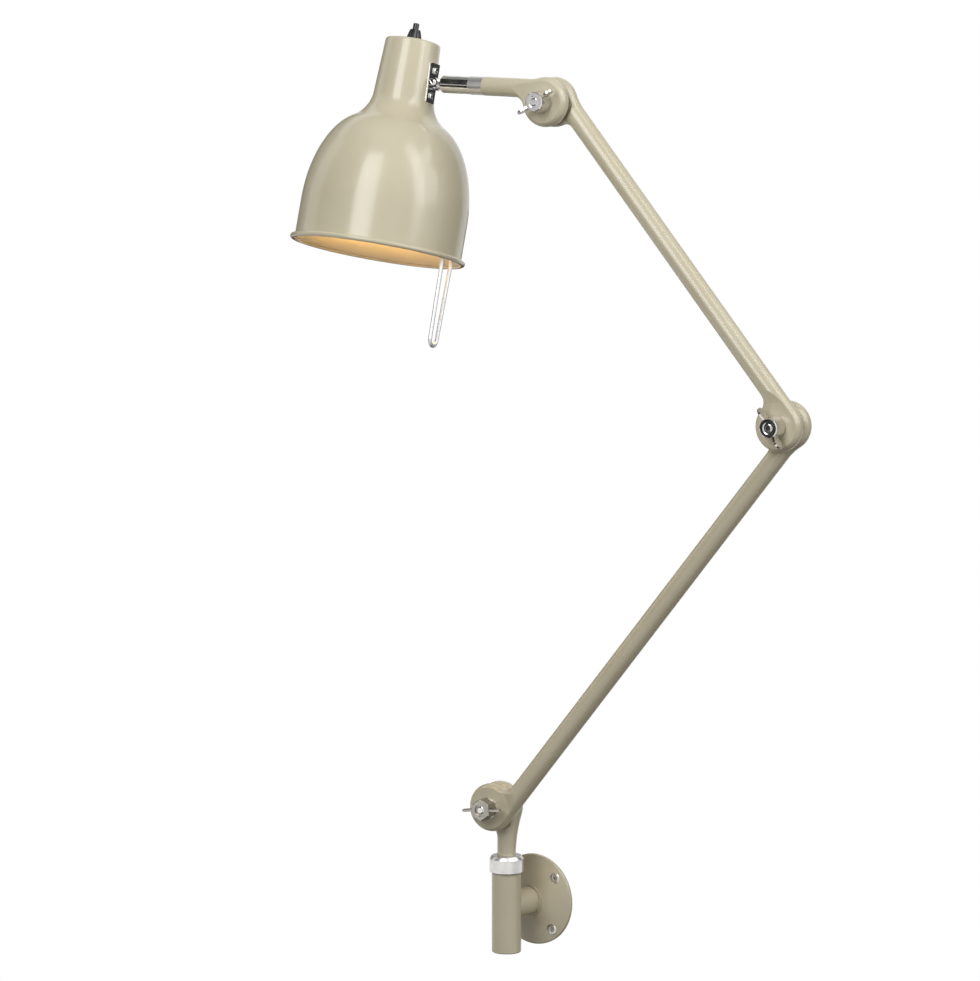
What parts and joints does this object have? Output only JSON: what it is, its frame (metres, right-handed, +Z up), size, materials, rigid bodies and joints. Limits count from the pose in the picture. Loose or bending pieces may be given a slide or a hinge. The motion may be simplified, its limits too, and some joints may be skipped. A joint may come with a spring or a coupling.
{
  "type": "wall lamp",
  "caption": "Jointed wall lamp: round wall plate, swivelling column, lower and upper arm clamped by wing nuts, and a tilting bell-shaped shade with a push switch.",
  "frame": {"origin": "centre of the wall plate's back face, on the wall", "axes": "+Y into the wall along the plate's axis, +Z up along the column, the lamp reaches out towards -Y"},
  "size_m": [0.4004, 0.1756, 0.7107],
  "materials": {
    "cream_paint": "smooth satin grey-cream stove enamel",
    "chrome": "bright plated steel",
    "plain_steel": "plain zinc-plated steel",
    "bush_metal": "turned, plain",
    "dark_plastic": "dark fibre and plastic",
    "black_moulding": "glossy black moulding",
    "opal_glass": "opal",
    "cap_metal": "rolled screw cap"
  },
  "bodies": {
    "wall_mount": {"wall_plate": "cream_paint", "wall_stub": "cream_paint", "column": "cream_paint", "upper_bush": "bush_metal", "lower_bush": "bush_metal", "cable_bush": "dark_plastic"},
    "lock_ring": {"lock_ring": "chrome"},
    "base_knuckle": {"base_knuckle": "cream_paint", "stem_clip": "plain_steel", "base_bolt": "chrome", "base_friction_washer": "dark_plastic"},
    "base_wing_nut": {"base_wing_nut": "chrome"},
    "lower_arm": {"lower_arm_base_lug": "cream_paint", "lower_arm_tube": "cream_paint", "lower_arm_elbow_lug": "cream_paint", "base_front_washer": "chrome", "elbow_bolt": "chrome", "elbow_friction_washer": "dark_plastic"},
    "elbow_wing_nut": {"elbow_wing_nut": "chrome"},
    "upper_arm": {"upper_arm_elbow_lug": "cream_paint", "upper_arm_tube": "cream_paint", "upper_arm_shoulder_lug": "cream_paint", "elbow_front_washer": "chrome", "shoulder_bolt": "chrome", "shoulder_friction_washer": "dark_plastic"},
    "shoulder_wing_nut": {"shoulder_wing_nut": "chrome"},
    "head_arm": {"head_arm_lug": "cream_paint", "head_arm_tube": "cream_paint", "swivel_collar": "chrome", "shoulder_front_washer": "chrome"},
    "swivel_sleeve": {"swivel_sleeve": "chrome", "sleeve_grub_screw": "plain_steel"},
    "shade": {"shade": "cream_paint", "shade_bracket": "chrome", "bracket_screws": "chrome", "tilt_screw": "chrome", "tilt_nut": "chrome", "lampholder_strap": "plain_steel", "lampholder_nipple": "plain_steel", "lampholder": "black_moulding", "switch_body": "black_moulding", "switch_nut": "black_moulding", "guide_loop": "chrome", "loop_clip": "plain_steel"},
    "switch_plunger": {"switch_plunger": "black_moulding"},
    "bulb": {"bulb_glass": "opal_glass", "bulb_cap": "cap_metal"}
  },
  "joints": [
    {"name": "column_swivel", "type": "hinge", "parent": "wall_mount", "child": "base_knuckle", "pos_m": [0, -0.0375, 0], "axis": [0, 0, 1], "range_deg": [-165, 3]},
    {"name": "lock_ring_turn", "type": "hinge", "parent": "wall_mount", "child": "lock_ring", "pos_m": [0, -0.0375, 0], "axis": [0, 0, 1], "continuous": true},
    {"name": "base_pivot", "type": "hinge", "parent": "base_knuckle", "child": "lower_arm", "pos_m": [-0.00498, -0.03798, 0.0783], "axis": [0.0958, -0.9954, 0], "range_deg": [-45, 75]},
    {"name": "base_wing_nut_turn", "type": "hinge", "parent": "base_knuckle", "child": "base_wing_nut", "pos_m": [-0.00498, -0.03798, 0.0783], "axis": [0.0958, -0.9954, 0], "continuous": true},
    {"name": "elbow_pivot", "type": "hinge", "parent": "lower_arm", "child": "upper_arm", "pos_m": [0.24586, -0.01383, 0.38183], "axis": [0.0958, -0.9954, 0], "range_deg": [-78, 50]},
    {"name": "elbow_wing_nut_turn", "type": "hinge", "parent": "lower_arm", "child": "elbow_wing_nut", "pos_m": [0.24586, -0.01383, 0.38183], "axis": [0.0958, -0.9954, 0], "continuous": true},
    {"name": "shoulder_pivot", "type": "hinge", "parent": "upper_arm", "child": "head_arm", "pos_m": [0.0573, -0.03198, 0.61575], "axis": [0.0958, -0.9954, 0], "range_deg": [-90, 45]},
    {"name": "shoulder_wing_nut_turn", "type": "hinge", "parent": "upper_arm", "child": "shoulder_wing_nut", "pos_m": [0.0573, -0.03198, 0.61575], "axis": [0.0958, -0.9954, 0], "continuous": true},
    {"name": "head_swivel", "type": "hinge", "parent": "head_arm", "child": "swivel_sleeve", "pos_m": [-0.0348, -0.08033, 0.62929], "axis": [-0.9945, -0.0958, 0.0419], "range_deg": [-160, 160]},
    {"name": "shade_tilt", "type": "hinge", "parent": "swivel_sleeve", "child": "shade", "pos_m": [-0.0348, -0.08033, 0.62929], "axis": [-0.1024, 0.9728, -0.2077], "range_deg": [-45, 45]},
    {"name": "switch_press", "type": "slide", "parent": "shade", "child": "switch_plunger", "axis": [-0.0486, -0.2135, -0.9757], "range_m": [0, 0.0025], "stiffness_N_per_m": 400, "springref_m": -0.003},
    {"name": "bulb_turn", "type": "hinge", "parent": "shade", "child": "bulb", "pos_m": [-0.05919, -0.07612, 0.66105], "axis": [0.0486, 0.2135, 0.9757], "continuous": true}
  ]
}
